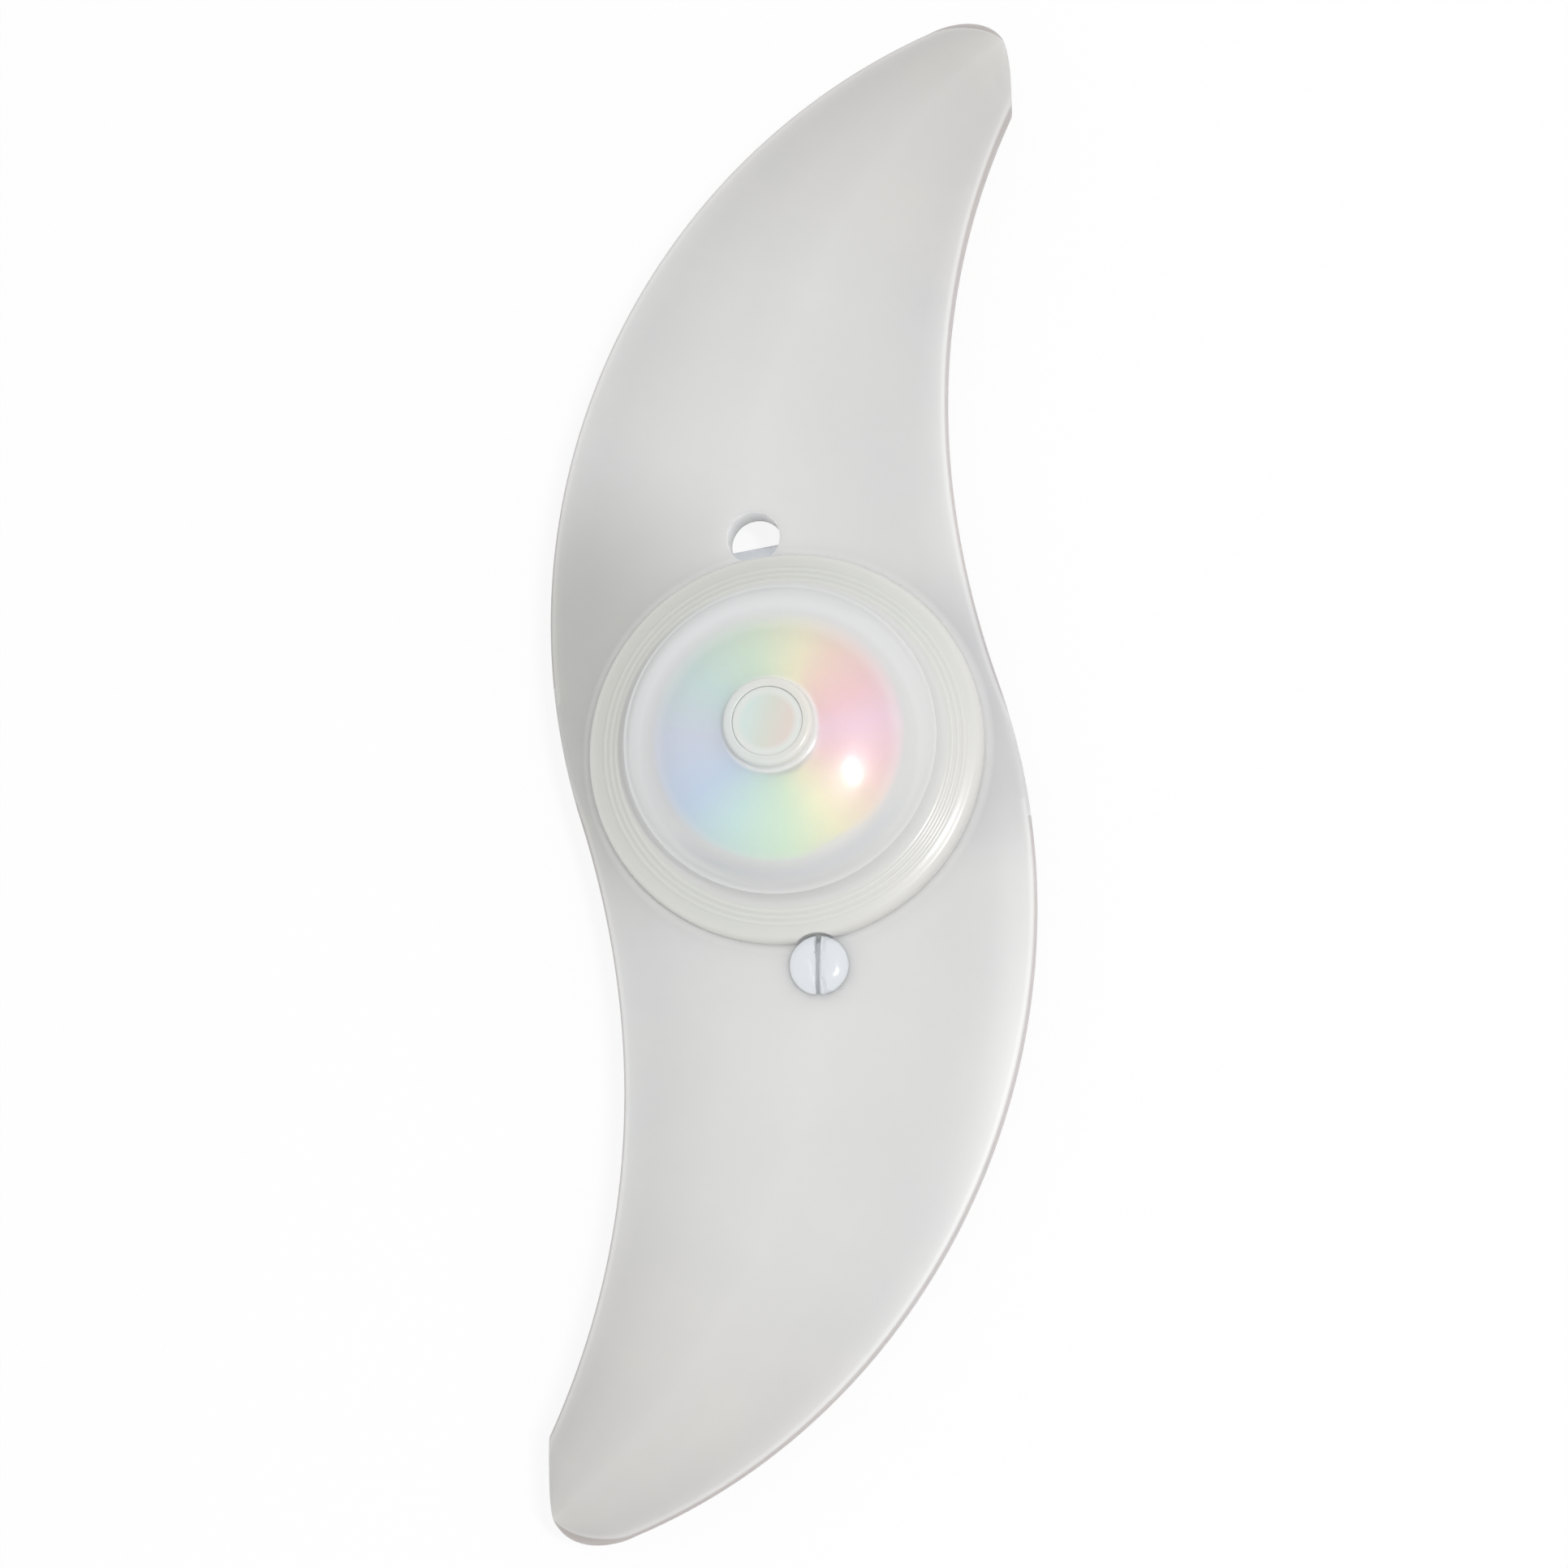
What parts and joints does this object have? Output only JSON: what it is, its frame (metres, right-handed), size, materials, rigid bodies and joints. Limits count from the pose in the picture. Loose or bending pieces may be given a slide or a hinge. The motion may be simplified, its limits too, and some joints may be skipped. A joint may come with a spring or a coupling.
{
  "type": "bicycle spoke light",
  "caption": "Wheel light: S-shaped frosted blade, round silicone-capped pod with a push button in its middle, and a swinging clear clasp on the back that grips spokes.",
  "frame": {"origin": "on the pod's axis, in the plane of the clasp's back that the light lies on", "axes": "+Z along the pod's axis out of the front, +Y along the blade towards the tip beside the open hole, +X to the right seen from the front"},
  "size_m": [0.0446, 0.1204, 0.0152],
  "materials": {
    "frosted_plastic": "frosted translucent",
    "silicone": "frosted translucent silicone",
    "button_plastic": "translucent satin",
    "label_film": "printed film",
    "white_plastic": "moulded satin",
    "base_plastic": "moulded satin",
    "seal_rubber": "matte",
    "screw_steel": "plated",
    "board_laminate": "solder mask",
    "chip_resin": "cured resin",
    "led_lens": "cast resin",
    "capacitor_ceramic": "ceramic",
    "resistor_ceramic": "ceramic",
    "switch_plastic": "moulded",
    "plunger_plastic": "moulded",
    "cell_steel": "brushed",
    "contact_metal": "spring sheet",
    "clear_plastic": "clear"
  },
  "bodies": {
    "light": {"blade": "frosted_plastic", "silicone_cap": "silicone", "colour_label": "label_film", "pod_shell": "white_plastic", "pod_base": "base_plastic", "base_seal": "seal_rubber", "cover_screws": "screw_steel", "circuit_board": "board_laminate", "control_chip": "chip_resin", "led_1": "led_lens", "led_2": "led_lens", "led_3": "led_lens", "chip_capacitor": "capacitor_ceramic", "resistor_1": "resistor_ceramic", "resistor_2": "resistor_ceramic", "resistor_3": "resistor_ceramic", "switch_body": "switch_plastic", "coin_cell": "cell_steel", "positive_contact": "contact_metal", "negative_contact": "contact_metal"},
    "button": {"press_button": "button_plastic", "switch_plunger": "plunger_plastic"},
    "clasp": {"clasp": "clear_plastic"}
  },
  "joints": [
    {"name": "button_press", "type": "slide", "parent": "light", "child": "button", "axis": [0, 0, -1], "range_m": [0, 0.0004], "stiffness_N_per_m": 1000, "springref_m": -0.0012},
    {"name": "clasp_swing", "type": "hinge", "parent": "light", "child": "clasp", "pos_m": [0.00641, -0.01556, 0.0036], "axis": [0, 0, -1], "range_deg": [0, 335]}
  ]
}
